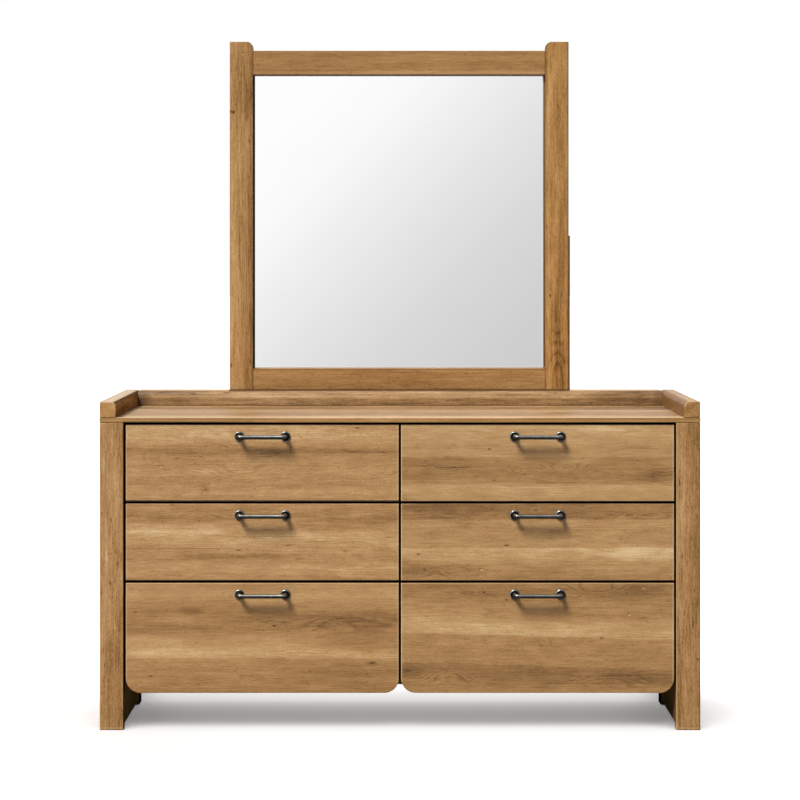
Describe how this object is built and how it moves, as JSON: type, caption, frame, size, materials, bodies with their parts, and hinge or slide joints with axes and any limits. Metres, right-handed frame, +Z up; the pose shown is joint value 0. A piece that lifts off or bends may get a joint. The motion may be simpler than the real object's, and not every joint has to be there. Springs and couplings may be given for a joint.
{
  "type": "dresser with mirror",
  "caption": "Wide low dresser in oak laminate with drawers in two columns, bar pulls, a low gallery round the top and a framed mirror standing at its back.",
  "frame": {"origin": "on the floor, at the middle of the footprint of the whole dresser with its pulls and mirror battens", "axes": "+X to the right as seen from the front, +Y to the back, +Z up; the drawers open towards -Y"},
  "size_m": [1.502, 0.4828, 1.7708],
  "materials": {
    "oak": "matt rustic oak laminate",
    "inner_board": "matt laminate board",
    "drawer_foil": "satin foil on board",
    "hardboard": "bare hardboard",
    "mirror": "silvered glass",
    "pull_metal": "burnished pewter",
    "runner_plastic": "moulded"
  },
  "bodies": {
    "carcass": {"top_slab": "oak", "gallery_rail_left": "oak", "front_stile_left": "oak", "rear_stile_left": "oak", "side_panel_outer_left": "oak", "side_panel_inner_left": "inner_board", "gallery_rail_right": "oak", "front_stile_right": "oak", "rear_stile_right": "oak", "side_panel_outer_right": "oak", "side_panel_inner_right": "inner_board", "gallery_rail_back": "oak", "centre_divider": "inner_board", "bottom_panel": "inner_board", "top_rear_rail": "inner_board", "back_panel": "hardboard", "mirror_post_left": "oak", "mirror_support_left": "oak", "mirror_post_right": "oak", "mirror_support_right": "oak", "mirror_rail_top": "oak", "mirror_rail_bottom": "oak", "mirror_glass": "mirror", "mirror_backing": "hardboard", "runner_lower_left_outer": "runner_plastic", "runner_lower_left_inner": "runner_plastic", "runner_lower_right_outer": "runner_plastic", "runner_lower_right_inner": "runner_plastic", "runner_middle_left_outer": "runner_plastic", "runner_middle_left_inner": "runner_plastic", "runner_middle_right_outer": "runner_plastic", "runner_middle_right_inner": "runner_plastic", "runner_upper_left_outer": "runner_plastic", "runner_upper_left_inner": "runner_plastic", "runner_upper_right_outer": "runner_plastic", "runner_upper_right_inner": "runner_plastic"},
    "drawer_lower_left": {"drawer_front_lower_left": "oak", "drawer_box_lower_left": "drawer_foil", "drawer_bottom_lower_left": "hardboard", "pull_lower_left": "pull_metal"},
    "drawer_lower_right": {"drawer_front_lower_right": "oak", "drawer_box_lower_right": "drawer_foil", "drawer_bottom_lower_right": "hardboard", "pull_lower_right": "pull_metal"},
    "drawer_middle_left": {"drawer_front_middle_left": "oak", "drawer_box_middle_left": "drawer_foil", "drawer_bottom_middle_left": "hardboard", "pull_middle_left": "pull_metal"},
    "drawer_middle_right": {"drawer_front_middle_right": "oak", "drawer_box_middle_right": "drawer_foil", "drawer_bottom_middle_right": "hardboard", "pull_middle_right": "pull_metal"},
    "drawer_upper_left": {"drawer_front_upper_left": "oak", "drawer_box_upper_left": "drawer_foil", "drawer_bottom_upper_left": "hardboard", "pull_upper_left": "pull_metal"},
    "drawer_upper_right": {"drawer_front_upper_right": "oak", "drawer_box_upper_right": "drawer_foil", "drawer_bottom_upper_right": "hardboard", "pull_upper_right": "pull_metal"}
  },
  "joints": [
    {"name": "drawer_lower_left_slide", "type": "slide", "parent": "carcass", "child": "drawer_lower_left", "axis": [0, -1, 0], "range_m": [0, 0.26]},
    {"name": "drawer_lower_right_slide", "type": "slide", "parent": "carcass", "child": "drawer_lower_right", "axis": [0, -1, 0], "range_m": [0, 0.26]},
    {"name": "drawer_middle_left_slide", "type": "slide", "parent": "carcass", "child": "drawer_middle_left", "axis": [0, -1, 0], "range_m": [0, 0.26]},
    {"name": "drawer_middle_right_slide", "type": "slide", "parent": "carcass", "child": "drawer_middle_right", "axis": [0, -1, 0], "range_m": [0, 0.26]},
    {"name": "drawer_upper_left_slide", "type": "slide", "parent": "carcass", "child": "drawer_upper_left", "axis": [0, -1, 0], "range_m": [0, 0.26]},
    {"name": "drawer_upper_right_slide", "type": "slide", "parent": "carcass", "child": "drawer_upper_right", "axis": [0, -1, 0], "range_m": [0, 0.26]}
  ]
}
